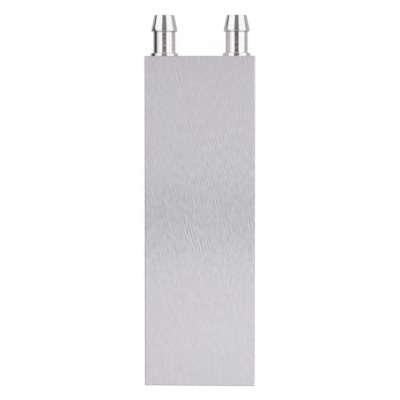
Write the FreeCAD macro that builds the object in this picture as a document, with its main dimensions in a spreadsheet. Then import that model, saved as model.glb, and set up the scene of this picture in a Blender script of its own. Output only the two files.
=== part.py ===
"""Liquid cooling cold plate: an extruded aluminium body with internal fins, closed at each end by
a welded cap, with two hose nozzles pressed into one of the caps.

Millimetres. X runs across the plate, Y along it towards the nozzles, and Z through its thickness.
The origin is the centre of the lower cooling face, so the plate lies flat on z = 0.

Coolant enters one nozzle, fills the plenum behind it, runs down the channels of that half, turns
round in the return plenum at the far end, and comes back along the other half to the other nozzle.
"""
import FreeCAD, Part
import Sketcher
import math
import os

Vector = FreeCAD.Vector

doc = FreeCAD.newDocument("cold_plate")

# ---------------------------------------------------------------------------------------------
# Driving dimensions, in millimetres apart from the count
# ---------------------------------------------------------------------------------------------
SIZES = (
    ("body_length", 120.0, "body along Y, end face to end face"),
    ("body_width", 40.0, "body across X"),
    ("body_thickness", 12.0, "body through Z, cooling face to cooling face"),
    ("edge_radius", 0.4, "radius that the extrusion die leaves on the long edges"),
    ("end_chamfer", 0.2, "deburred edge round each sawn end"),
    ("face_wall", 2.0, "wall between a cooling face and the channels"),
    ("side_wall", 2.0, "wall between a side and the channels"),
    ("centre_web", 2.0, "web that parts the outward half from the return half"),
    ("fin_count", 5, "fins in each half"),
    ("fin_thickness", 1.0, "thickness of one fin"),
    ("channel_corner", 0.4, "corner radius of an extruded channel"),
    ("nozzle_plenum_depth", 6.0, "length of fin milled away behind the nozzle end cap"),
    ("return_plenum_depth", 8.0, "length of fin and web milled away behind the return end cap"),
    ("plenum_corner", 1.5, "corner radius that the cutter leaves in a plenum"),
    ("cap_thickness", 4.0, "end cap along Y, which is the depth of its seat"),
    ("cap_ledge", 0.75, "width of the ledge that an end cap stops against"),
    ("cap_clearance", 0.05, "gap round an end cap in its seat"),
    ("cap_lead_in", 0.3, "chamfer round an end cap's inner face"),
    ("groove_depth", 0.5, "depth of the weld groove round an end cap, cut at 45 degrees"),
    ("nozzle_inset", 6.8, "from a side of the body to the axis of the nozzle next to it"),
    ("bore_diameter", 5.5, "water way through a nozzle"),
    ("bore_countersink", 0.3, "chamfer at the outer end of the bore"),
    ("shank_diameter", 7.0, "shank pressed into the end cap"),
    ("shank_lip", 0.6, "length of shank that stands out of the cap into the plenum"),
    ("shank_lead_in", 0.3, "chamfer at the inner end of the shank"),
    ("flange_width", 1.0, "how far the collar that stops the nozzle stands out from the neck"),
    ("flange_thickness", 1.2, "collar along Y"),
    ("flange_edge", 0.2, "chamfer on the outer edge of the collar"),
    ("flange_root", 0.3, "fillet between the collar and the neck"),
    ("neck_diameter", 8.0, "neck that the hose grips"),
    ("neck_length", 8.0, "neck from the collar to the barb"),
    ("barb_height", 0.7, "how far the barb's crest stands out from the neck"),
    ("crest_land", 0.6, "straight crest of the barb, sharp at its back edge to grip the hose"),
    ("cone_length", 5.2, "taper from the crest to the tip"),
    ("tip_diameter", 7.3, "barb at its tip"),
    ("tip_edge", 0.2, "chamfer on the edge of the tip"),
)

sheet = doc.addObject("Spreadsheet::Sheet", "sizes")
for row, (alias, value, meaning) in enumerate(SIZES, start=1):
    sheet.set(f"A{row}", alias)
    sheet.set(f"B{row}", str(value))
    sheet.setAlias(f"B{row}", alias)
    sheet.set(f"C{row}", meaning)
doc.recompute()

# What follows from the sheet, as expressions for sketches, features and placements
MID_HEIGHT = "sizes.body_thickness / 2"
HALF_WIDTH = "sizes.body_width / 2"
END_PLANE = "sizes.body_length / 2"

CAVITY_WIDTH = "(sizes.body_width - 2 * sizes.side_wall)"
CAVITY_HEIGHT = "(sizes.body_thickness - 2 * sizes.face_wall)"
HALF_CAVITY = f"(({CAVITY_WIDTH} - sizes.centre_web) / 2)"
HALF_CAVITY_CENTRE = f"((sizes.centre_web + {HALF_CAVITY}) / 2)"
CHANNEL_WIDTH = f"(({HALF_CAVITY} - sizes.fin_count * sizes.fin_thickness) / (sizes.fin_count + 1))"
FIRST_CHANNEL = f"((sizes.centre_web + {CHANNEL_WIDTH}) / 2)"
CHANNEL_ROW = f"(sizes.fin_count * (sizes.fin_thickness + {CHANNEL_WIDTH}))"

SEAT_WIDTH = f"({CAVITY_WIDTH} + 2 * sizes.cap_ledge)"
SEAT_HEIGHT = f"({CAVITY_HEIGHT} + 2 * sizes.cap_ledge)"
SEAT_CORNER = "(sizes.plenum_corner + sizes.cap_ledge)"
CAP_WIDTH = f"({SEAT_WIDTH} - 2 * sizes.cap_clearance)"
CAP_HEIGHT = f"({SEAT_HEIGHT} - 2 * sizes.cap_clearance)"
CAP_CORNER = f"({SEAT_CORNER} - sizes.cap_clearance)"

NOZZLE_OFFSET = f"({HALF_WIDTH} - sizes.nozzle_inset)"
FLANGE_DIAMETER = "(sizes.neck_diameter + 2 * sizes.flange_width)"
CREST_DIAMETER = "(sizes.neck_diameter + 2 * sizes.barb_height)"
SHANK_END = "(-sizes.cap_thickness - sizes.shank_lip)"
CREST_START = "(sizes.flange_thickness + sizes.neck_length)"
CREST_END = f"({CREST_START} + sizes.crest_land)"
TIP_END = f"({CREST_END} + sizes.cone_length)"


def size(expression):
    """The present value of an expression in the sheet's sizes."""
    return float(sheet.evalExpression(expression))


# ---------------------------------------------------------------------------------------------
# Sketches
# ---------------------------------------------------------------------------------------------
START, END, CENTRE = range(1, 4)  # the ends and centre of a sketch's line, arc or circle
X_AXIS, Y_AXIS = range(-1, -3, -1)  # a sketch's own axes
ROOT = X_AXIS, START  # a sketch's own origin


def following(items):
    """Each item of a closed ring with the one after it."""
    return list(zip(items, items[1:] + items[:1]))


def new_body(label):
    """An empty body, whose label names the sub-part."""
    body = doc.addObject("PartDesign::Body", label)
    body.Label = label
    return body


def origin_feature(body, role):
    """One of a body's own origin planes or axes."""
    return next(feature for feature in body.Origin.OriginFeatures if feature.Role == role)


def new_sketch(body, name, plane, y="0"):
    """A sketch on one of a body's origin planes. One on the XZ plane can be moved to a y."""
    sketch = body.newObject("Sketcher::SketchObject", name)
    sketch.AttachmentSupport = [(origin_feature(body, plane), "")]
    sketch.MapMode = "FlatFace"
    if y != "0":
        sketch.setExpression("AttachmentOffset.Base.z", f"-({y})")
    return sketch


def bind(sketch, name, expression, kind, *where):
    """A named dimension of a sketch, tied to an expression in the sheet's sizes."""
    index = sketch.addConstraint(Sketcher.Constraint(kind, *where, size(expression)))
    sketch.renameConstraint(index, name)
    sketch.setExpression(f"Constraints.{name}", expression)


def fix(sketch, kind, *where):
    """A constraint of a sketch that has no size."""
    sketch.addConstraint(Sketcher.Constraint(kind, *where))


def place(sketch, name, geometry, x, y):
    """A point of a sketch put at an x and a y, on an axis where one of them is zero."""
    if x == "0":
        fix(sketch, "PointOnObject", *geometry, Y_AXIS)
    else:
        bind(sketch, f"{name}_x", x, "DistanceX", *ROOT, *geometry)
    if y == "0":
        fix(sketch, "PointOnObject", *geometry, X_AXIS)
    else:
        bind(sketch, f"{name}_y", y, "DistanceY", *ROOT, *geometry)


def draw_rectangle(sketch, width, height, x="0", y="0"):
    """A rectangle round a centre."""
    middle = Vector(size(x), size(y))
    right, up = Vector(size(width) / 2, 0), Vector(0, size(height) / 2)
    corners = [middle - right - up, middle + right - up, middle + right + up, middle - right + up]
    sides = [sketch.addGeometry(Part.LineSegment(*ends)) for ends in following(corners)]
    for line, after in following(sides):
        fix(sketch, "Coincident", line, END, after, START)
    low, near_side, high, far_side = sides
    for level in (low, high):
        fix(sketch, "Horizontal", level)
    for upright in (near_side, far_side):
        fix(sketch, "Vertical", upright)
    centre = sketch.addGeometry(Part.Point(middle), True)
    fix(sketch, "Symmetric", low, START, high, START, centre, START)
    bind(sketch, "width", width, "DistanceX", low, START, low, END)
    bind(sketch, "height", height, "DistanceY", near_side, START, near_side, END)
    place(sketch, "centre", (centre, START), x, y)


def draw_rounded_rectangle(sketch, width, height, radius, x="0", y="0"):
    """A rectangle with rounded corners, round a centre."""
    middle, rounding = Vector(size(x), size(y)), size(radius)
    right, up = Vector(size(width) / 2, 0), Vector(0, size(height) / 2)
    inward_x, inward_y = Vector(rounding, 0), Vector(0, rounding)
    corners = (
        (middle + right - up - inward_x + inward_y, -math.pi / 2),
        (middle + right + up - inward_x - inward_y, 0),
        (middle - right + up + inward_x - inward_y, math.pi / 2),
        (middle - right - up + inward_x + inward_y, math.pi),
    )
    arcs = [
        Part.ArcOfCircle(Part.Circle(centre, Vector(0, 0, 1), rounding), turn, turn + math.pi / 2)
        for centre, turn in corners
    ]
    lines = [Part.LineSegment(arc.EndPoint, after.StartPoint) for arc, after in following(arcs)]
    outline = [sketch.addGeometry(piece) for pair in zip(arcs, lines) for piece in pair]
    for piece, after in following(outline):
        fix(sketch, "Tangent", piece, END, after, START)
    first_arc, near_side, second_arc, high, third_arc, far_side, fourth_arc, low = outline
    for arc in (second_arc, third_arc, fourth_arc):
        fix(sketch, "Equal", first_arc, arc)
    fix(sketch, "Vertical", near_side)
    fix(sketch, "Horizontal", high)
    centre = sketch.addGeometry(Part.Point(middle), True)
    fix(sketch, "Symmetric", low, START, high, START, centre, START)
    bind(sketch, "width", width, "DistanceX", far_side, START, near_side, START)
    bind(sketch, "height", height, "DistanceY", low, START, high, START)
    bind(sketch, "radius", radius, "Radius", first_arc)
    place(sketch, "centre", (centre, START), x, y)


def draw_circle(sketch, diameter, x="0", y="0"):
    """A circle round a centre."""
    circle = Part.Circle(Vector(size(x), size(y)), Vector(0, 0, 1), size(diameter) / 2)
    index = sketch.addGeometry(circle)
    bind(sketch, "diameter", diameter, "Diameter", index)
    place(sketch, "centre", (index, CENTRE), x, y)


def draw_profile(sketch, corners):
    """A closed outline of straight lines through corners given as x and y. A line between two
    corners with the same x or y is kept upright or level, and every other place is bound."""
    points = [Vector(size(x), size(y)) for x, y in corners]
    lines = [sketch.addGeometry(Part.LineSegment(*ends)) for ends in following(points)]
    for line, after in following(lines):
        fix(sketch, "Coincident", line, END, after, START)
    for number, ((line, after), (corner, next_corner)) in enumerate(
        zip(following(lines), following(corners)), start=1
    ):
        if corner[0] == next_corner[0]:
            fix(sketch, "Vertical", line)
        else:
            bind(sketch, f"x_{number}", next_corner[0], "DistanceX", *ROOT, after, START)
        if corner[1] == next_corner[1]:
            fix(sketch, "Horizontal", line)
        elif next_corner[1] == "0":
            fix(sketch, "PointOnObject", after, START, X_AXIS)
        else:
            bind(sketch, f"y_{number}", next_corner[1], "DistanceY", *ROOT, after, START)


# ---------------------------------------------------------------------------------------------
# Features
# ---------------------------------------------------------------------------------------------
def pad(body, name, sketch, length, both_ways=False, taper=0):
    """Material added along a sketch's normal, or to both sides of the sketch."""
    feature = body.newObject("PartDesign::Pad", name)
    feature.Profile = sketch
    feature.setExpression("Length", length)
    feature.Midplane = both_ways
    feature.TaperAngle = taper
    doc.recompute()
    return feature


def pocket(body, name, sketch, depth=None, along_normal=True, taper=0):
    """Material taken away for a depth from a sketch, or right through. Its loss is checked."""
    before = body.Tip.Shape.Volume
    feature = body.newObject("PartDesign::Pocket", name)
    feature.Profile = sketch
    if depth is None:
        feature.Type = "ThroughAll"
        feature.Midplane = True
    else:
        feature.Type = "Length"
        feature.Reversed = along_normal
        feature.TaperAngle = taper
        feature.setExpression("Length", depth)
    doc.recompute()
    if not feature.Shape.Volume < before:
        raise RuntimeError(f"{name} takes nothing away from {body.Label}")
    return feature


def mirror(body, name, originals, plane):
    """Features repeated on the other side of one of the body's origin planes."""
    feature = body.newObject("PartDesign::Mirrored", name)
    feature.Originals = originals
    feature.MirrorPlane = (origin_feature(body, plane), [""])
    body.Tip = feature
    doc.recompute()
    return feature


def dress_edges(body, kind, name, size_property, amount, wanted):
    """A fillet or chamfer on those edges of a body that pass a test."""
    base = body.Tip
    names = [f"Edge{n}" for n, edge in enumerate(base.Shape.Edges, start=1) if wanted(edge)]
    feature = body.newObject(f"PartDesign::{kind}", name)
    feature.Base = (base, names)
    feature.setExpression(size_property, amount)
    doc.recompute()
    return feature


def fillet(body, name, radius, wanted):
    return dress_edges(body, "Fillet", name, "Radius", radius, wanted)


def chamfer(body, name, leg, wanted):
    return dress_edges(body, "Chamfer", name, "Size", leg, wanted)


# ---------------------------------------------------------------------------------------------
# Tests that pick edges
# ---------------------------------------------------------------------------------------------
SAME_PLACE = 1e-4


def same(value, other):
    return abs(value - other) < SAME_PLACE


def lies_at_y(edge, y):
    """Whether the whole edge lies at one y."""
    return same(edge.BoundBox.YMin, y) and same(edge.BoundBox.YMax, y)


def runs_along_y(edge):
    """Whether an edge is as long as its stretch of Y."""
    return same(edge.BoundBox.YLength, edge.Length)


def on_outside(edge):
    """Whether an edge of the channel body touches the outside of its section."""
    half_width, thickness = size(HALF_WIDTH), size("sizes.body_thickness")
    ends = [vertex.Point for vertex in edge.Vertexes]
    return any(
        same(abs(end.x), half_width) or same(end.z, 0) or same(end.z, thickness) for end in ends
    )


def is_ring(edge, diameter, y):
    """Whether an edge is a whole circle of a diameter about the Y axis, at a y."""
    return (
        edge.Closed
        and isinstance(edge.Curve, Part.Circle)
        and same(2 * edge.Curve.Radius, size(diameter))
        and same(edge.Curve.Center.y, size(y))
    )


# ---------------------------------------------------------------------------------------------
# Channel body: one extrusion, milled back at both ends
# ---------------------------------------------------------------------------------------------
def make_channel_body():
    body = new_body("channel_body")

    section = new_sketch(body, "section", "XZ_Plane")
    draw_rectangle(section, "sizes.body_width", "sizes.body_thickness", y=MID_HEIGHT)
    pad(body, "extrusion", section, "sizes.body_length", both_ways=True)

    channel_section = new_sketch(body, "channel_section", "XZ_Plane")
    draw_rounded_rectangle(
        channel_section, CHANNEL_WIDTH, CAVITY_HEIGHT, "sizes.channel_corner",
        x=FIRST_CHANNEL, y=MID_HEIGHT,
    )
    first_channel = pocket(body, "first_channel", channel_section)

    channel_row = body.newObject("PartDesign::LinearPattern", "channel_row")
    channel_row.Direction = (origin_feature(body, "X_Axis"), [""])
    channel_row.setExpression("Length", CHANNEL_ROW)
    channel_row.setExpression("Occurrences", "sizes.fin_count + 1")
    other_half = body.newObject("PartDesign::Mirrored", "other_half")
    other_half.MirrorPlane = (origin_feature(body, "YZ_Plane"), [""])
    channels = body.newObject("PartDesign::MultiTransform", "channels")
    channels.Originals = [first_channel]
    channels.Transformations = [channel_row, other_half]
    body.Tip = channels
    doc.recompute()

    plenum_section = new_sketch(body, "nozzle_plenum_section", "XZ_Plane", END_PLANE)
    draw_rounded_rectangle(
        plenum_section, HALF_CAVITY, CAVITY_HEIGHT, "sizes.plenum_corner",
        x=HALF_CAVITY_CENTRE, y=MID_HEIGHT,
    )
    plenum = pocket(
        body, "nozzle_plenum", plenum_section, "sizes.cap_thickness + sizes.nozzle_plenum_depth"
    )
    mirror(body, "nozzle_plenums", [plenum], "YZ_Plane")

    return_section = new_sketch(body, "return_plenum_section", "XZ_Plane", f"-{END_PLANE}")
    draw_rounded_rectangle(
        return_section, CAVITY_WIDTH, CAVITY_HEIGHT, "sizes.plenum_corner", y=MID_HEIGHT
    )
    pocket(
        body, "return_plenum", return_section,
        "sizes.cap_thickness + sizes.return_plenum_depth", along_normal=False,
    )

    seat_section = new_sketch(body, "cap_seat_section", "XZ_Plane", END_PLANE)
    draw_rounded_rectangle(seat_section, SEAT_WIDTH, SEAT_HEIGHT, SEAT_CORNER, y=MID_HEIGHT)
    seat = pocket(body, "nozzle_cap_seat", seat_section, "sizes.cap_thickness")
    mirror(body, "cap_seats", [seat], "XZ_Plane")

    def on_end_face(edge):
        return lies_at_y(edge, size(END_PLANE)) or lies_at_y(edge, -size(END_PLANE))

    chamfer(
        body, "weld_grooves", "sizes.groove_depth",
        lambda edge: on_end_face(edge) and not on_outside(edge),
    )
    fillet(
        body, "die_radii", "sizes.edge_radius",
        lambda edge: runs_along_y(edge) and on_outside(edge),
    )
    chamfer(
        body, "deburred_ends", "sizes.end_chamfer",
        lambda edge: on_end_face(edge) and on_outside(edge),
    )
    return body


# ---------------------------------------------------------------------------------------------
# End caps and the weld beads round them. Each is drawn with its outer face at y = 0 and reaches
# towards -Y, and is then put at its end of the body
# ---------------------------------------------------------------------------------------------
def put_at_nozzle_end(body):
    body.setExpression("Placement.Base.y", END_PLANE)
    body.setExpression("Placement.Base.z", MID_HEIGHT)


def put_at_return_end(body):
    body.Placement = FreeCAD.Placement(Vector(), FreeCAD.Rotation(Vector(0, 0, 1), 180))
    body.setExpression("Placement.Base.y", f"-{END_PLANE}")
    body.setExpression("Placement.Base.z", MID_HEIGHT)


def make_end_cap(label):
    body = new_body(label)
    outline = new_sketch(body, f"{label}_outline", "XZ_Plane")
    draw_rounded_rectangle(outline, CAP_WIDTH, CAP_HEIGHT, CAP_CORNER)
    pad(body, f"{label}_plate", outline, "sizes.cap_thickness")
    chamfer(body, f"{label}_groove", "sizes.groove_depth", lambda edge: lies_at_y(edge, 0))
    inner_face = -size("sizes.cap_thickness")
    chamfer(
        body, f"{label}_lead_in", "sizes.cap_lead_in", lambda edge: lies_at_y(edge, inner_face)
    )
    return body


def make_nozzle_end_cap():
    body = make_end_cap("nozzle_end_cap")
    hole_section = new_sketch(body, "nozzle_hole_section", "XZ_Plane")
    draw_circle(hole_section, "sizes.shank_diameter", x=NOZZLE_OFFSET)
    hole = pocket(body, "nozzle_hole", hole_section, "sizes.cap_thickness")
    mirror(body, "nozzle_holes", [hole], "YZ_Plane")
    put_at_nozzle_end(body)
    return body


def make_return_end_cap():
    body = make_end_cap("return_end_cap")
    put_at_return_end(body)
    return body


def make_seam(label, put_in_place):
    """A weld bead that fills the groove round an end cap and is ground flush."""
    body = new_body(label)
    outer = new_sketch(body, f"{label}_outer", "XZ_Plane")
    draw_rounded_rectangle(
        outer, f"{SEAT_WIDTH} + 2 * sizes.groove_depth", f"{SEAT_HEIGHT} + 2 * sizes.groove_depth",
        f"{SEAT_CORNER} + sizes.groove_depth",
    )
    pad(body, f"{label}_bead", outer, "sizes.groove_depth", taper=-45)
    inner = new_sketch(body, f"{label}_inner", "XZ_Plane")
    draw_rounded_rectangle(
        inner, f"{CAP_WIDTH} - 2 * sizes.groove_depth", f"{CAP_HEIGHT} - 2 * sizes.groove_depth",
        f"{CAP_CORNER} - sizes.groove_depth",
    )
    pocket(body, f"{label}_cap", inner, "sizes.groove_depth", taper=45)
    put_in_place(body)
    return body


# ---------------------------------------------------------------------------------------------
# Hose nozzles: turned in one piece, drawn about the Y axis with the collar's seat at y = 0
# ---------------------------------------------------------------------------------------------
def make_nozzle(label, side):
    body = new_body(label)
    bore = "sizes.bore_diameter / 2"
    shank = "sizes.shank_diameter / 2"
    flange = f"{FLANGE_DIAMETER} / 2"
    neck = "sizes.neck_diameter / 2"
    crest = f"{CREST_DIAMETER} / 2"
    profile = new_sketch(body, f"{label}_profile", "XY_Plane")
    draw_profile(profile, [
        (bore, SHANK_END),
        (shank, SHANK_END),
        (shank, "0"),
        (flange, "0"),
        (flange, "sizes.flange_thickness"),
        (neck, "sizes.flange_thickness"),
        (neck, CREST_START),
        (crest, CREST_START),
        (crest, CREST_END),
        ("sizes.tip_diameter / 2", TIP_END),
        (bore, TIP_END),
    ])
    turned = body.newObject("PartDesign::Revolution", f"{label}_turned")
    turned.Profile = profile
    turned.ReferenceAxis = (profile, ["V_Axis"])
    doc.recompute()

    fillet(
        body, f"{label}_flange_root", "sizes.flange_root",
        lambda edge: is_ring(edge, "sizes.neck_diameter", "sizes.flange_thickness"),
    )
    chamfer(
        body, f"{label}_flange_edge", "sizes.flange_edge",
        lambda edge: is_ring(edge, FLANGE_DIAMETER, "sizes.flange_thickness"),
    )
    chamfer(
        body, f"{label}_tip_edge", "sizes.tip_edge",
        lambda edge: is_ring(edge, "sizes.tip_diameter", TIP_END),
    )
    chamfer(
        body, f"{label}_countersink", "sizes.bore_countersink",
        lambda edge: is_ring(edge, "sizes.bore_diameter", TIP_END),
    )
    chamfer(
        body, f"{label}_lead_in", "sizes.shank_lead_in",
        lambda edge: is_ring(edge, "sizes.shank_diameter", SHANK_END),
    )
    body.setExpression("Placement.Base.x", f"{side} * {NOZZLE_OFFSET}")
    body.setExpression("Placement.Base.y", END_PLANE)
    body.setExpression("Placement.Base.z", MID_HEIGHT)
    return body


# ---------------------------------------------------------------------------------------------
# The cold plate
# ---------------------------------------------------------------------------------------------
sub_parts = [
    make_channel_body(),
    make_nozzle_end_cap(),
    make_return_end_cap(),
    make_seam("nozzle_end_seam", put_at_nozzle_end),
    make_seam("return_end_seam", put_at_return_end),
    make_nozzle("inlet_nozzle", side=-1),
    make_nozzle("outlet_nozzle", side=1),
]
doc.recompute()

for item in doc.Objects:
    if "Invalid" in item.State or "Error" in item.State:
        raise RuntimeError(f"{item.Label} is {', '.join(item.State)}")
for sub_part in sub_parts:
    if sub_part.Shape.isNull() or not sub_part.Shape.isValid() or len(sub_part.Shape.Solids) != 1:
        raise RuntimeError(f"{sub_part.Label} isn't one valid solid")

os.makedirs("parts", exist_ok=True)
for sub_part in sub_parts:
    sub_part.Shape.exportStep(f"parts/{sub_part.Label}.step")
    print(f"{sub_part.Label}: {sub_part.Shape.Volume:.1f} mm3")
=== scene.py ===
"""Looks of the liquid cooling cold plate: finishes for its aluminium pieces, its turned hose
nozzles, and a pale studio. Metres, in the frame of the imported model."""

import math

import bmesh
import bpy
from bpy.props import FloatProperty, FloatVectorProperty, IntProperty, PointerProperty
from bpy.types import Operator, Panel, PropertyGroup
from mathutils import Matrix, Vector


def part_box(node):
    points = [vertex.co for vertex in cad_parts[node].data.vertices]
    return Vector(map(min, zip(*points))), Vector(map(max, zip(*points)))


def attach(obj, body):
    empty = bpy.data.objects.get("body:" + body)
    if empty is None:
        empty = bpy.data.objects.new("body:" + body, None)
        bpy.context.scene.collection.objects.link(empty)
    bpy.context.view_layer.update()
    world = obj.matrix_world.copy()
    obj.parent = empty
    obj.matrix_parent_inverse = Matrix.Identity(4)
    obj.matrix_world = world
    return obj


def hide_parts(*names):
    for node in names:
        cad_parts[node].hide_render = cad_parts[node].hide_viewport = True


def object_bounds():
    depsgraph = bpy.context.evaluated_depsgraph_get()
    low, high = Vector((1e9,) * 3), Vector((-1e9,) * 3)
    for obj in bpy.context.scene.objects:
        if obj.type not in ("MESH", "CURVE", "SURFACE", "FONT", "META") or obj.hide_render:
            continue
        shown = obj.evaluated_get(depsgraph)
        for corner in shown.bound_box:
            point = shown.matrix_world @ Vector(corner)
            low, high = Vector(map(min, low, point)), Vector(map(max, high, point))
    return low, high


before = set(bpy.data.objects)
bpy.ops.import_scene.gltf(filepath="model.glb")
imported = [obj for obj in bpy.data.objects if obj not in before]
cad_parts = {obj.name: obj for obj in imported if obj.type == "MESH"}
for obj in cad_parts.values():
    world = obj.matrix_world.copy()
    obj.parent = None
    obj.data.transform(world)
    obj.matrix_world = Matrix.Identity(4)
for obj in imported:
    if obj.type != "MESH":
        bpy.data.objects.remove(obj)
CAD_BOX = [list(corner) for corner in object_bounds()]

bl_info = {
    "name": "Cold Plate Looks",
    "version": (1, 0, 0),
    "blender": (4, 5, 0),
    "location": "3D View > Sidebar > Cold Plate",
    "description": "Finishes, turned nozzles and a studio for a liquid cooling cold plate",
    "category": "Object",
}

MM = 0.001
BODY_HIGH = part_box("channel_body")[1]
NOZZLE_LOW, NOZZLE_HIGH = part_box("inlet_nozzle")
PLATE_LOW, PLATE_HIGH = CAD_BOX
SIDE_X = BODY_HIGH[0]
SEAT_Y = BODY_HIGH[1]
NOZZLE_TIP = NOZZLE_HIGH[1] - SEAT_Y
SHANK_END = NOZZLE_LOW[1] - SEAT_Y
NOZZLE_X = abs(NOZZLE_LOW[0] + NOZZLE_HIGH[0]) / 2
FLANGE_RADIUS = (NOZZLE_HIGH[0] - NOZZLE_LOW[0]) / 2


# ---------------------------------------------------------------------------------------------
# Sizes and colours that a user would change
# ---------------------------------------------------------------------------------------------
class BrushedFinish(PropertyGroup):
    """The hand-brushed aluminium of the body."""
    colour: FloatVectorProperty(
        name="Aluminium", description="Colour of the bare metal", subtype="COLOR",
        size=3, min=0, max=1, default=(0.688, 0.674, 0.701),
    )
    haze_colour: FloatVectorProperty(
        name="Hazy aluminium", description="Colour of the metal in its hazy patches",
        subtype="COLOR", size=3, min=0, max=1, default=(0.682, 0.682, 0.698),
    )
    roughness: FloatProperty(
        name="Roughness", description="How dull the brushed faces are", subtype="FACTOR",
        min=0, max=1, default=0.42,
    )
    slant: FloatProperty(
        name="Slant", description="Turn of the strokes away from the length of the plate",
        subtype="ANGLE", default=math.radians(15),
    )
    stroke_length: FloatProperty(
        name="Stroke length", description="Length of a typical stroke", unit="LENGTH",
        default=5.4 * MM,
    )
    stroke_bend: FloatProperty(
        name="Stroke bend", description="How far the strokes stray from straight", unit="LENGTH",
        default=1.2 * MM,
    )
    stroke_width: FloatProperty(
        name="Stroke width", description="Width of a typical stroke", unit="LENGTH",
        default=0.54 * MM,
    )
    stroke_depth: FloatProperty(
        name="Stroke depth", description="Height of the relief between strokes", unit="LENGTH",
        default=0.004 * MM,
    )


class NozzleShape(PropertyGroup):
    """One turned hose nozzle, measured from its collar's seat."""
    bore_radius: FloatProperty(
        name="Bore radius", description="Radius of the water way", unit="LENGTH", default=2.75 * MM,
    )
    shank_radius: FloatProperty(
        name="Shank radius", description="Radius of the shank in the cap", unit="LENGTH",
        default=3.5 * MM,
    )
    flange_radius: FloatProperty(
        name="Collar radius", description="Radius of the collar on the end face", unit="LENGTH",
        default=FLANGE_RADIUS,
    )
    flange_thickness: FloatProperty(
        name="Collar thickness", description="Thickness of the collar", unit="LENGTH",
        default=1.2 * MM,
    )
    neck_radius: FloatProperty(
        name="Neck radius", description="Radius of the neck that the hose grips", unit="LENGTH",
        default=4.0 * MM,
    )
    neck_length: FloatProperty(
        name="Neck length", description="Length from the collar to the barb", unit="LENGTH",
        default=8.0 * MM,
    )
    crest_radius: FloatProperty(
        name="Crest radius", description="Largest radius of the barb", unit="LENGTH",
        default=4.7 * MM,
    )
    crest_land: FloatProperty(
        name="Crest land", description="Straight part of the barb at its crest", unit="LENGTH",
        default=0.6 * MM,
    )
    tip_radius: FloatProperty(
        name="Tip radius", description="Radius of the barb at its tip", unit="LENGTH",
        default=3.65 * MM,
    )
    root_fillet: FloatProperty(
        name="Root fillet", description="Radius between collar and neck", unit="LENGTH",
        default=0.1 * MM,
    )
    edge_round: FloatProperty(
        name="Edge rounding", description="Radius on the outer edges", unit="LENGTH",
        default=0.15 * MM,
    )
    segments: IntProperty(
        name="Segments", description="Faces round the nozzle", min=24, max=512, default=192,
    )
    colour: FloatVectorProperty(
        name="Polished metal", description="Colour of the polished nozzles", subtype="COLOR",
        size=3, min=0, max=1, default=(0.96, 0.948, 0.955),
    )
    roughness: FloatProperty(
        name="Roughness", description="How dull the polish is", subtype="FACTOR",
        min=0, max=1, default=0.06,
    )


class StudioSettings(PropertyGroup):
    """The surroundings, the floor, the cards and the camera."""
    distance: FloatProperty(
        name="Distance", description="From the upper face to the camera", unit="LENGTH",
        default=0.520,
    )
    lens: FloatProperty(
        name="Lens", description="Focal length of the camera", unit="CAMERA", default=129.0,
    )
    tilt: FloatProperty(
        name="Tilt", description="Lean of the camera towards the nozzles", subtype="ANGLE",
        default=math.radians(2.79),
    )
    swing: FloatProperty(
        name="Swing", description="Lean of the camera towards the outlet side", subtype="ANGLE",
        default=math.radians(2.34),
    )
    roll: FloatProperty(
        name="Roll", description="Turn of the camera about its own axis", subtype="ANGLE",
        default=math.radians(0.03),
    )
    sky: FloatProperty(
        name="Surroundings", description="Brightness of the white surroundings", min=0,
        default=1.0,
    )
    floor_size: FloatProperty(
        name="Floor", description="Side of the floor", unit="LENGTH", default=4.0,
    )
    ceiling_shade: FloatProperty(
        name="Ceiling card", description="Brightness at the near end of the card beside the camera",
        min=0, default=0.125,
    )
    mat_shade: FloatProperty(
        name="Mat", description="Brightness of the mat under the plate", min=0, default=0.46,
    )
    end_shade: FloatProperty(
        name="End cards", description="Brightness at the foot of the cards beyond both ends",
        min=0, default=0.25,
    )
    inlet_strip_shade: FloatProperty(
        name="Inlet strips", description="Brightness of the strips on the inlet side", min=0,
        default=0.055,
    )
    middle_strip_shade: FloatProperty(
        name="Middle strip", description="Brightness of the strip beyond the inlet nozzle's tip",
        min=0, default=0.12,
    )
    outlet_strip_shade: FloatProperty(
        name="Outlet strip", description="Brightness of the strip on the outlet side", min=0,
        default=0.24,
    )


# ---------------------------------------------------------------------------------------------
# Shader helpers
# ---------------------------------------------------------------------------------------------
def new_material(name):
    """A material with an empty node tree."""
    material = bpy.data.materials.new(name)
    material.use_nodes = True
    material.node_tree.nodes.clear()
    return material


def add_node(tree, kind, inputs=None, **settings):
    """A node with its settings, and with inputs that are numbers or other nodes' outputs."""
    node = tree.nodes.new(kind)
    for name, value in settings.items():
        setattr(node, name, value)
    for name, value in (inputs or {}).items():
        if isinstance(value, bpy.types.NodeSocket):
            tree.links.new(value, node.inputs[name])
        else:
            node.inputs[name].default_value = value
    return node


def maths(tree, operation, first, second=0.0, third=0.0):
    """The result of a Math node."""
    inputs = {0: first, 1: second, 2: third}
    return add_node(tree, "ShaderNodeMath", inputs, operation=operation).outputs[0]


def remap(tree, value, low, high, to_low=0.0, to_high=1.0):
    """A value taken smoothly from one range to another, and kept inside it."""
    return add_node(
        tree, "ShaderNodeMapRange",
        {"Value": value, "From Min": low, "From Max": high, "To Min": to_low, "To Max": to_high},
        interpolation_type="SMOOTHSTEP",
    ).outputs["Result"]


def object_place(tree):
    """The place on the piece, in metres."""
    return add_node(tree, "ShaderNodeTexCoord").outputs["Object"]


def apart(tree, vector):
    """The X, Y and Z of a vector."""
    parts = add_node(tree, "ShaderNodeSeparateXYZ", {"Vector": vector}).outputs
    return parts["X"], parts["Y"], parts["Z"]


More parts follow.
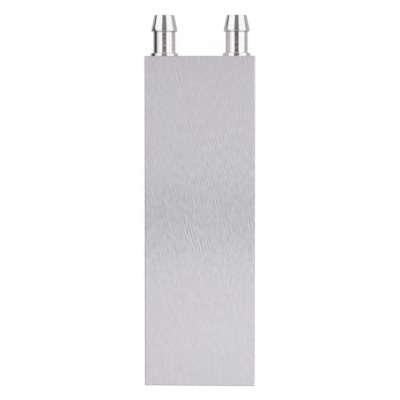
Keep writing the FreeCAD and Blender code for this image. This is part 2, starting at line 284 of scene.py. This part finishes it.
def facing(tree):
    """Whether the surface faces along X and along Y, either way. From 0 to 1, smoothly."""
    facing_away, facing_along = 0.6, 0.9
    normal = add_node(tree, "ShaderNodeTexCoord").outputs["Normal"]
    return [
        remap(tree, maths(tree, "ABSOLUTE", part), facing_away, facing_along)
        for part in apart(tree, normal)[:2]
    ]


def scaled(tree, vector, scale):
    """A vector or a colour times a number."""
    return add_node(
        tree, "ShaderNodeVectorMath", {0: vector, "Scale": scale}, operation="SCALE"
    ).outputs["Vector"]


def noise(tree, place, lumps, detail, output="Fac"):
    """Smooth noise with so many lumps to the metre. From 0 to 1."""
    return add_node(
        tree, "ShaderNodeTexNoise", {"Vector": place, "Scale": lumps, "Detail": detail}
    ).outputs[output]


def draw_out(tree, place, scale, turn, seed):
    """Places turned about Z and then drawn out along the axes."""
    turned = add_node(
        tree, "ShaderNodeMapping", {"Vector": place, "Rotation": (0, 0, turn)}
    ).outputs["Vector"]
    return add_node(
        tree, "ShaderNodeMapping",
        {"Vector": turned, "Scale": scale, "Location": (seed, seed, seed)},
    ).outputs["Vector"]


def streaks(tree, place, length, width, turn=0.0, lie="Y", detail=3.0, seed=0.0):
    """Noise in streaks that lie along X or Y, turned about Z. From 0 to 1."""
    across, along = 1 / width, 1 / length
    scale = {"X": (along, across, across), "Y": (across, along, across)}[lie]
    return add_node(
        tree, "ShaderNodeTexNoise",
        {"Vector": draw_out(tree, place, scale, turn, seed), "Scale": 1.0, "Detail": detail,
         "Roughness": 0.55},
    ).outputs["Fac"]


def brush_marks(tree, place, length, spacing, turn, seed=0.0):
    """Groups of a few parallel strokes, turned about Z. From 0 to 1."""
    strokes = 3.5
    width = strokes * spacing
    scale = (1 / width, 1 / length, 1 / width)
    orientation_in_plane = 4
    return add_node(
        tree, "ShaderNodeTexGabor",
        {"Vector": draw_out(tree, place, scale, turn, seed), "Scale": 1.0,
         "Frequency": strokes, "Anisotropy": 1.0, orientation_in_plane: 0.0},
        gabor_type="2D",
    ).outputs["Value"]


def add_layers(tree, layers):
    """Waves added up, each from a weight and a value round one half. The sum is round nought."""
    total = 0.0
    for weight, layer in layers:
        wave = maths(tree, "SUBTRACT", layer, 0.5)
        total = maths(tree, "MULTIPLY_ADD", wave, weight, total)
    return total


def vary(tree, value, stretches):
    """A value times a factor for each stretch. A stretch is what it runs along, its start and
    end there, and the factors at its start and end, which hold beyond them."""
    for part, start, end, at_start, at_end in stretches:
        value = maths(tree, "MULTIPLY", value, remap(tree, part, start, end, at_start, at_end))
    return value


def blend(tree, share, first, second):
    """Two values mixed by a share from 0 to 1."""
    return add_node(
        tree, "ShaderNodeMix", {"Factor": share, "A": first, "B": second}, data_type="FLOAT"
    ).outputs["Result"]


def blend_colours(tree, share, first, second):
    """Two colours mixed by a share from 0 to 1. The node's sockets go by number."""
    first_socket, second_socket, result = 6, 7, 2
    return add_node(
        tree, "ShaderNodeMix",
        {0: share, first_socket: (*first, 1), second_socket: (*second, 1)}, data_type="RGBA",
    ).outputs[result]


def tint(tree, colour, low, high, share):
    """A colour made darker or lighter by a share from 0 to 1."""
    return scaled(tree, tuple(colour), remap(tree, share, 0.0, 1.0, low, high))


def metal_surface(tree, colour, roughness, height, depth):
    """A metal shader with relief, joined to the output."""
    normal = add_node(
        tree, "ShaderNodeBump", {"Height": height, "Distance": depth, "Strength": 1.0}
    ).outputs["Normal"]
    shader = add_node(tree, "ShaderNodeBsdfPrincipled", {
        "Base Color": colour, "Roughness": roughness, "Metallic": 1.0, "Normal": normal,
    }).outputs["BSDF"]
    add_node(tree, "ShaderNodeOutputMaterial", {"Surface": shader})


# ---------------------------------------------------------------------------------------------
# Finishes
# ---------------------------------------------------------------------------------------------
def hand_brushing(tree, place, along, finish):
    """Slanting strokes in loose groups over fine mottling, strongest across the middle of the
    plate. The pattern is round one half."""
    length, width, slant = finish.stroke_length, finish.stroke_width, finish.slant
    drift = noise(tree, place, 35.0, 0.0, output="Color")
    bend = add_node(
        tree, "ShaderNodeVectorMath", {0: drift, 1: (0.5, 0.5, 0.5)}, operation="SUBTRACT"
    ).outputs["Vector"]
    bend = scaled(tree, bend, finish.stroke_bend)
    bent_place = add_node(tree, "ShaderNodeVectorMath", {0: place, 1: bend}).outputs["Vector"]

    strokes = add_layers(tree, (
        (1.0, brush_marks(tree, bent_place, length, 2 * width, -slant)),
        (0.75, brush_marks(tree, bent_place, 0.7 * length, 1.6 * width, -1.3 * slant, seed=7.0)),
        (0.7, streaks(
            tree, bent_place, 0.7 * length, 0.8 * width, -0.8 * slant, detail=1.0, seed=13.0
        )),
    ))
    patches = noise(tree, place, 160.0, 1.0)
    strokes = vary(tree, strokes, (
        (patches, 0.40, 0.62, 0.25, 1.5),
        (along, -19 * MM, 0, 0.22, 1.0),
        (along, 5 * MM, 17 * MM, 1.0, 0.50),
    ))

    mottling = add_layers(tree, (
        (0.50, streaks(
            tree, place, 5 * width, 1.4 * width, -0.5 * slant, detail=1.0, seed=19.0
        )),
        (0.30, streaks(tree, place, 3 * width, 2.2 * width, detail=1.0, seed=23.0)),
    ))
    mottling = vary(tree, mottling, (
        (along, -35 * MM, -5 * MM, 0.55, 1.0),
        (along, 6 * MM, 20 * MM, 1.0, 0.75),
    ))
    return maths(tree, "ADD", maths(tree, "ADD", strokes, mottling), 0.5)


def painted_face_light(tree, across, along, band):
    """Painted light and shade over the broad faces, from a band that is 1 where it is darkest."""
    # Painted shade: darker where the band is 1.
    return vary(tree, remap(tree, band, 0.0, 1.0, 1.0, 0.915), (
        # Painted light: brighter towards the nozzles, darker at the return end.
        (along, 6 * MM, SEAT_Y, 1.0, 1.165),
        (along, -SEAT_Y, -42 * MM, 0.955, 1.0),
        # Painted light: a little brighter towards the outlet side.
        (across, -SIDE_X, 4 * MM, 0.97, 1.0),
        (across, 0, SIDE_X, 1.0, 1.01),
        # Painted shade: dark lines beside the rounded edges.
        (across, -SIDE_X + 0.1 * MM, -SIDE_X + 0.5 * MM, 0.70, 1.0),
        (along, -SEAT_Y + 0.1 * MM, -SEAT_Y + 0.5 * MM, 0.88, 1.0),
        (along, SEAT_Y - 0.5 * MM, SEAT_Y - 0.1 * MM, 1.0, 0.96),
    ))


def brushed_aluminium(finish):
    """Broad faces brushed by hand, hazier in a band across the middle, with painted light and shade
    over them, sides with the lines of the extrusion die, and sawn ends."""
    material = new_material("brushed_aluminium")
    tree = material.node_tree
    place = object_place(tree)
    across, along = apart(tree, place)[:2]
    faces_x, faces_y = facing(tree)

    brushing = hand_brushing(tree, place, along, finish)
    die_lines = streaks(tree, place, 60 * MM, 0.18 * MM, lie="Y", detail=3.0, seed=3.0)
    saw_lines = streaks(tree, place, 25 * MM, 0.12 * MM, lie="X", detail=2.0, seed=5.0)
    pattern = blend(tree, faces_x, brushing, die_lines)
    pattern = blend(tree, faces_y, pattern, saw_lines)
    level = remap(tree, pattern, 0.0, 1.0)

    # A band across the middle: hazier in colour, and darkened by painted shade in the tone.
    band = vary(tree, 1.0, (
        (along, -26 * MM, 4 * MM, 0.0, 1.0),
        (along, 2 * MM, 22 * MM, 1.0, 0.15),
    ))
    patches = remap(tree, noise(tree, place, 60.0, 1.0), 0.52, 0.66)
    haze = maths(tree, "MAXIMUM", patches, band)
    hue = blend_colours(tree, haze, finish.colour, finish.haze_colour)
    contrast = 0.19
    strokes = maths(tree, "MULTIPLY_ADD", level, 2 * contrast, 1 - contrast)
    # The tone is painted light and shade over the faces, times the contrast of the strokes.
    tone = maths(tree, "MULTIPLY", painted_face_light(tree, across, along, band), strokes)
    spread = 0.05
    roughness = remap(tree, level, 0.0, 1.0, finish.roughness + spread, finish.roughness - spread)
    metal_surface(tree, scaled(tree, hue, tone), roughness, pattern, finish.stroke_depth)
    return material


def milled_aluminium(finish):
    """An end cap, faced with a cutter that leaves fine lines across."""
    material = new_material("milled_aluminium")
    tree = material.node_tree
    place = object_place(tree)
    lines = streaks(tree, place, 12 * MM, 0.15 * MM, lie="X", detail=3.0, seed=11.0)
    level = remap(tree, lines, 0.25, 0.75)
    colour = tint(tree, finish.colour, 0.96, 1.03, level)
    roughness = remap(tree, level, 0.0, 1.0, 0.36, 0.26)
    metal_surface(tree, colour, roughness, lines, 0.003 * MM)
    return material


def ground_weld(finish):
    """A weld bead that was ground flush, a little duller and darker than the metal round it."""
    material = new_material("ground_weld")
    tree = material.node_tree
    place = object_place(tree)
    lines = streaks(tree, place, 3 * MM, 0.10 * MM, lie="X", detail=3.0, seed=17.0)
    pits = noise(tree, place, 1500.0, 2.0)
    height = blend(tree, 0.4, lines, pits)
    colour = tint(tree, finish.colour, 0.74, 0.92, remap(tree, height, 0.3, 0.7))
    roughness = remap(tree, height, 0.3, 0.7, 0.56, 0.42)
    metal_surface(tree, colour, roughness, height, 0.006 * MM)
    return material


def polished_metal(nozzle):
    """A turned and polished nozzle. The tool has left rings of uneven polish, and the corners
    under the barb and above the collar are darkened by painted shade."""
    material = new_material("polished_metal")
    tree = material.node_tree
    place = object_place(tree)
    along = apart(tree, place)[1]
    rings = streaks(tree, place, 0.5 * MM, 40 * MM, lie="Y", detail=2.0, seed=9.0)
    level = remap(tree, rings, 0.40, 0.60)
    shade = remap(tree, level, 0.0, 1.0, 0.95, 1.0)
    collar_top = SEAT_Y + nozzle.flange_thickness
    under_barb = collar_top + nozzle.neck_length - 0.22 * MM
    # Painted shade in the corners under the barb and above the collar.
    for corner, reach, darkest in (
        (under_barb, 0.36 * MM, 0.62),
        (collar_top, 0.20 * MM, 0.85),
    ):
        gap = maths(tree, "ABSOLUTE", maths(tree, "SUBTRACT", along, corner))
        shade = vary(tree, shade, [(gap, 0.3 * reach, reach, darkest, 1.0)])
    colour = scaled(tree, tuple(nozzle.colour), shade)
    dull_roughness = nozzle.roughness + 0.11
    roughness = remap(tree, level, 0.0, 1.0, dull_roughness, nozzle.roughness)
    metal_surface(tree, colour, roughness, rings, 0.006 * MM)
    return material


def dress(node, material):
    """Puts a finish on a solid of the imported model."""
    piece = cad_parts[node]
    if piece.material_slots:
        for slot in piece.material_slots:
            slot.link = "OBJECT"
            slot.material = material
    else:
        piece.data.materials.append(material)


# ---------------------------------------------------------------------------------------------
# Turned shapes
# ---------------------------------------------------------------------------------------------
def rounded_outline(corners, steps=8):
    """A closed outline through corners given as x, y and radius. A corner with a radius becomes
    an arc, and each straight stretch gets a point close to each of its ends to keep it flat."""
    outline = []
    hold = 0.04 * MM
    for number, (x, y, radius) in enumerate(corners):
        corner = Vector((x, y))
        before = (Vector(corners[number - 1][:2]) - corner).normalized()
        after = (Vector(corners[(number + 1) % len(corners)][:2]) - corner).normalized()
        half_angle = before.angle(after) / 2
        reach = radius / math.tan(half_angle)
        outline.append(corner + before * (reach + hold))
        if radius:
            centre = corner + (before + after).normalized() * (radius / math.sin(half_angle))
            start = corner + before * reach - centre
            turn = before.angle_signed(after)
            sweep = math.copysign(math.pi - abs(turn), turn)
            for step in range(steps + 1):
                outline.append(centre + Matrix.Rotation(sweep * step / steps, 2) @ start)
        else:
            outline.append(corner)
        outline.append(corner + after * (reach + hold))
    return outline


def turn_about_y(name, outline, segments, centre):
    """A solid of revolution about a line along Y through centre, from a closed outline whose x is
    the radius and whose y is the place along the line."""
    mesh = bmesh.new()
    rings = []
    for radius, along in outline:
        ring = []
        for segment in range(segments):
            angle = math.tau * segment / segments
            offset = Vector((radius * math.cos(angle), along, radius * math.sin(angle)))
            ring.append(mesh.verts.new(Vector(centre) + offset))
        rings.append(ring)
    for ring, after in zip(rings, rings[1:] + rings[:1]):
        for segment in range(segments):
            following = (segment + 1) % segments
            face = (ring[segment], ring[following], after[following], after[segment])
            mesh.faces.new(face).smooth = True
    bmesh.ops.recalc_face_normals(mesh, faces=mesh.faces)
    data = bpy.data.meshes.new(name)
    mesh.to_mesh(data)
    mesh.free()
    piece = bpy.data.objects.new(name, data)
    bpy.context.scene.collection.objects.link(piece)
    return piece


def nozzle_outline(nozzle):
    """Half of a nozzle's section, as corners with their radii."""
    small = nozzle.edge_round
    crest_start = nozzle.flange_thickness + nozzle.neck_length
    crest_end = crest_start + nozzle.crest_land
    countersink = 0.3 * MM
    lead_in = 0.3 * MM
    return rounded_outline([
        (nozzle.bore_radius, SHANK_END, 0),
        (nozzle.shank_radius - lead_in, SHANK_END, 0),
        (nozzle.shank_radius, SHANK_END + lead_in, 0),
        (nozzle.shank_radius, 0, 0),
        (nozzle.flange_radius, 0, small / 4),
        (nozzle.flange_radius, nozzle.flange_thickness, small),
        (nozzle.neck_radius, nozzle.flange_thickness, nozzle.root_fillet),
        (nozzle.neck_radius, crest_start, small / 2),
        (nozzle.crest_radius, crest_start, small / 4),
        (nozzle.crest_radius, crest_end, small),
        (nozzle.tip_radius, NOZZLE_TIP, small),
        (nozzle.bore_radius + countersink, NOZZLE_TIP, small / 2),
        (nozzle.bore_radius, NOZZLE_TIP - countersink, small / 2),
    ])


# ---------------------------------------------------------------------------------------------
# Operators
# ---------------------------------------------------------------------------------------------
class COLDPLATE_OT_brush_body(Operator):
    """Give the extruded body its brushed faces, drawn sides and sawn ends"""
    bl_idname = "coldplate.brush_body"
    bl_label = "Brush the Body"

    def execute(self, context):
        dress("channel_body", brushed_aluminium(context.scene.coldplate_brushing))
        return {"FINISHED"}


class COLDPLATE_OT_mill_caps(Operator):
    """Give the end caps their milled faces"""
    bl_idname = "coldplate.mill_caps"
    bl_label = "Mill the End Caps"

    def execute(self, context):
        material = milled_aluminium(context.scene.coldplate_brushing)
        for node in ("nozzle_end_cap", "return_end_cap"):
            dress(node, material)
        return {"FINISHED"}


class COLDPLATE_OT_grind_seams(Operator):
    """Give the weld beads their ground finish"""
    bl_idname = "coldplate.grind_seams"
    bl_label = "Grind the Weld Beads"

    def execute(self, context):
        material = ground_weld(context.scene.coldplate_brushing)
        for node in ("nozzle_end_seam", "return_end_seam"):
            dress(node, material)
        return {"FINISHED"}


class COLDPLATE_OT_turn_nozzles(Operator):
    """Turn the two hose nozzles and polish them"""
    bl_idname = "coldplate.turn_nozzles"
    bl_label = "Turn the Nozzles"

    def execute(self, context):
        shape = context.scene.coldplate_nozzle
        material = polished_metal(shape)
        for node in ("inlet_nozzle", "outlet_nozzle"):
            low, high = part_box(node)
            centre = ((low[0] + high[0]) / 2, SEAT_Y, (low[2] + high[2]) / 2)
            piece = turn_about_y(
                f"turned_{node}", nozzle_outline(shape), shape.segments, centre
            )
            piece.data.materials.append(material)
            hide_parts(node)
            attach(piece, "root")
        return {"FINISHED"}


class COLDPLATE_OT_set_studio(Operator):
    """Lay the floor, light the surroundings, set the cards and place the camera"""
    bl_idname = "coldplate.set_studio"
    bl_label = "Set the Studio"

    def execute(self, context):
        studio = context.scene.coldplate_studio
        lay_floor(studio)
        light_surroundings(studio)
        hang_ceiling_card(studio)
        lay_mat_and_strips(studio)
        stand_cards(studio)
        place_camera(studio)
        return {"FINISHED"}


# ---------------------------------------------------------------------------------------------
# Studio
# ---------------------------------------------------------------------------------------------
CARD_COLOUR = (1.0, 0.985, 0.995, 1)


def flat_piece(name, width, length, place, rotation=(0, 0, 0)):
    """A flat rectangle that is part of the studio."""
    mesh = bmesh.new()
    corners = ((-1, -1), (1, -1), (1, 1), (-1, 1))
    mesh.faces.new([mesh.verts.new((x * width / 2, y * length / 2, 0)) for x, y in corners])
    data = bpy.data.meshes.new(name)
    mesh.to_mesh(data)
    mesh.free()
    piece = bpy.data.objects.new(name, data)
    piece.location = place
    piece.rotation_euler = rotation
    bpy.context.scene.collection.objects.link(piece)
    return piece


def lay_floor(studio):
    """A floor that shows as white to the camera and in polished metal, with the plate's soft
    shadow on it."""
    paint, glow_strength, gap = 0.08, 0.935, 0.05 * MM
    material = new_material("white_floor")
    tree = material.node_tree
    matt = add_node(
        tree, "ShaderNodeBsdfDiffuse", {"Color": (paint, paint, paint, 1)}
    ).outputs["BSDF"]
    rays = add_node(tree, "ShaderNodeLightPath").outputs
    seen = 0.0
    for ray in ("Is Camera Ray", "Is Glossy Ray", "Is Transmission Ray"):
        seen = maths(tree, "MAXIMUM", seen, rays[ray])
    glow = add_node(
        tree, "ShaderNodeEmission", {"Strength": maths(tree, "MULTIPLY", seen, glow_strength)}
    ).outputs["Emission"]
    both = add_node(tree, "ShaderNodeAddShader", {0: matt, 1: glow}).outputs["Shader"]
    add_node(tree, "ShaderNodeOutputMaterial", {"Surface": both})
    place = (0, 0, PLATE_LOW[2] - gap)
    floor = flat_piece("floor", studio.floor_size, studio.floor_size, place)
    floor.data.materials.append(material)


def light_surroundings(studio):
    """A plain white world all round."""
    world = bpy.data.worlds.new("white_surroundings")
    world.use_nodes = True
    tree = world.node_tree
    tree.nodes.clear()
    light = add_node(
        tree, "ShaderNodeBackground", {"Color": (1, 1, 1, 1), "Strength": studio.sky}
    ).outputs["Background"]
    add_node(tree, "ShaderNodeOutputWorld", {"Surface": light})
    bpy.context.scene.world = world


def card(name, shade, width, length, place, rotation=(0, 0, 0), far_shade=None):
    """A card that shows only in polished metal and the gloss of the other pieces. Its shade may
    change along its length."""
    material = new_material(name)
    tree = material.node_tree
    strength = shade
    if far_shade is not None:
        along = apart(tree, object_place(tree))[1]
        strength = remap(tree, along, -length / 2, length / 2, shade, far_shade)
    glow = add_node(
        tree, "ShaderNodeEmission", {"Color": CARD_COLOUR, "Strength": strength}
    ).outputs["Emission"]
    add_node(tree, "ShaderNodeOutputMaterial", {"Surface": glow})
    piece = flat_piece(name, width, length, place, rotation)
    piece.data.materials.append(material)
    piece.visible_camera = False
    piece.visible_diffuse = False
    piece.visible_shadow = False
    piece.visible_transmission = False
    piece.visible_volume_scatter = False


def hang_ceiling_card(studio):
    """A dark level card beside the camera, from above the nozzles outwards."""
    width, length, start_y, height = 396 * MM, 350 * MM, 70 * MM, 500 * MM
    camera_x = studio.distance * math.sin(studio.swing)
    card(
        "ceiling_card", studio.ceiling_shade, width, length,
        (camera_x, start_y + length / 2, height), far_shade=1.6 * studio.ceiling_shade,
    )


def lay_mat_and_strips(studio):
    """A mat under the plate, and dark strips round the nozzles. Each strip has a side, an inset
    from that nozzle's axis, a width, and a start and end measured from the end face."""
    mat_height, strip_height = -0.02 * MM, 0.3 * MM
    card("mat", studio.mat_shade, 300 * MM, 320 * MM, (0, 10 * MM, mat_height))
    inlet, outlet = -1, 1
    for name, side, shade, inset, width, start, end in (
        ("inlet_strip_near", inlet, studio.inlet_strip_shade, 15, 7, -4, 15),
        ("inlet_strip_far", inlet, studio.inlet_strip_shade, 22, 163, -4, 90),
        ("middle_strip", inlet, studio.middle_strip_shade, -7, 21, 17, 28),
        ("outlet_strip", outlet, studio.outlet_strip_shade, 36, 80, -4, 60),
    ):
        x = side * (NOZZLE_X + (inset + width / 2) * MM)
        y = SEAT_Y + (start + end) / 2 * MM
        card(name, shade, width * MM, (end - start) * MM, (x, y, strip_height))


def stand_cards(studio):
    """Upright cards beyond both ends, brighter towards their tops, and on the inlet side a dark
    foot with a card above it that fades into the surroundings."""
    across, along = (math.radians(90), 0, 0), (math.radians(90), 0, math.radians(90))
    for name, y in (("nozzle_end_card", 400 * MM), ("return_end_card", -400 * MM)):
        card(
            name, studio.end_shade, 600 * MM, 220 * MM, (0, y, 140 * MM), across, far_shade=0.9
        )
    x, y, length, foot_height, fade_height = -200 * MM, 7.5 * MM, 215 * MM, 40 * MM, 160 * MM
    card(
        "inlet_foot", studio.inlet_strip_shade, length, foot_height,
        (x, y, foot_height / 2), along,
    )
    card(
        "fading_card", 0.68, length, fade_height, (x, y, foot_height + fade_height / 2), along,
        far_shade=1.0,
    )


def place_camera(studio):
    """The camera above the plate, looking down with the nozzles at the top of the view."""
    aim = Vector((0.12 * MM, 7.9 * MM, PLATE_HIGH[2]))
    turn = Matrix.Rotation(studio.swing, 4, "Y") @ Matrix.Rotation(-studio.tilt, 4, "X")
    place = Matrix.Translation(aim) @ turn @ Matrix.Translation((0, 0, studio.distance))
    data = bpy.data.cameras.new("camera")
    data.lens = studio.lens
    data.sensor_width = 36.0
    data.clip_end = 10.0
    camera = bpy.data.objects.new("camera", data)
    camera.matrix_world = place @ Matrix.Rotation(studio.roll, 4, "Z")
    bpy.context.scene.collection.objects.link(camera)
    bpy.context.scene.camera = camera
    bpy.context.scene.view_settings.view_transform = "Standard"


# ---------------------------------------------------------------------------------------------
# Panel and registration
# ---------------------------------------------------------------------------------------------
OPERATORS = (
    COLDPLATE_OT_brush_body,
    COLDPLATE_OT_mill_caps,
    COLDPLATE_OT_grind_seams,
    COLDPLATE_OT_turn_nozzles,
    COLDPLATE_OT_set_studio,
)


class COLDPLATE_PT_looks(Panel):
    """Lists what the cold plate is made of"""
    bl_idname = "COLDPLATE_PT_looks"
    bl_label = "Cold Plate"
    bl_space_type = "VIEW_3D"
    bl_region_type = "UI"
    bl_category = "Cold Plate"

    def draw(self, context):
        for group in SETTINGS:
            settings = getattr(context.scene, group)
            box = self.layout.box()
            for name in settings.bl_rna.properties.keys():
                if name not in ("rna_type", "name"):
                    box.prop(settings, name)
        for operator in OPERATORS:
            self.layout.operator(operator.bl_idname)


SETTINGS = {
    "coldplate_brushing": BrushedFinish,
    "coldplate_nozzle": NozzleShape,
    "coldplate_studio": StudioSettings,
}
CLASSES = (*SETTINGS.values(), *OPERATORS, COLDPLATE_PT_looks)


def register():
    for item in CLASSES:
        bpy.utils.register_class(item)
    for name, group in SETTINGS.items():
        setattr(bpy.types.Scene, name, PointerProperty(type=group))


def unregister():
    for name in SETTINGS:
        delattr(bpy.types.Scene, name)
    for item in reversed(CLASSES):
        bpy.utils.unregister_class(item)


def main():
    """Dresses every piece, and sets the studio."""
    register()
    bpy.ops.coldplate.brush_body()
    bpy.ops.coldplate.mill_caps()
    bpy.ops.coldplate.grind_seams()
    bpy.ops.coldplate.turn_nozzles()
    bpy.ops.coldplate.set_studio()


if __name__ == "__main__":
    main()
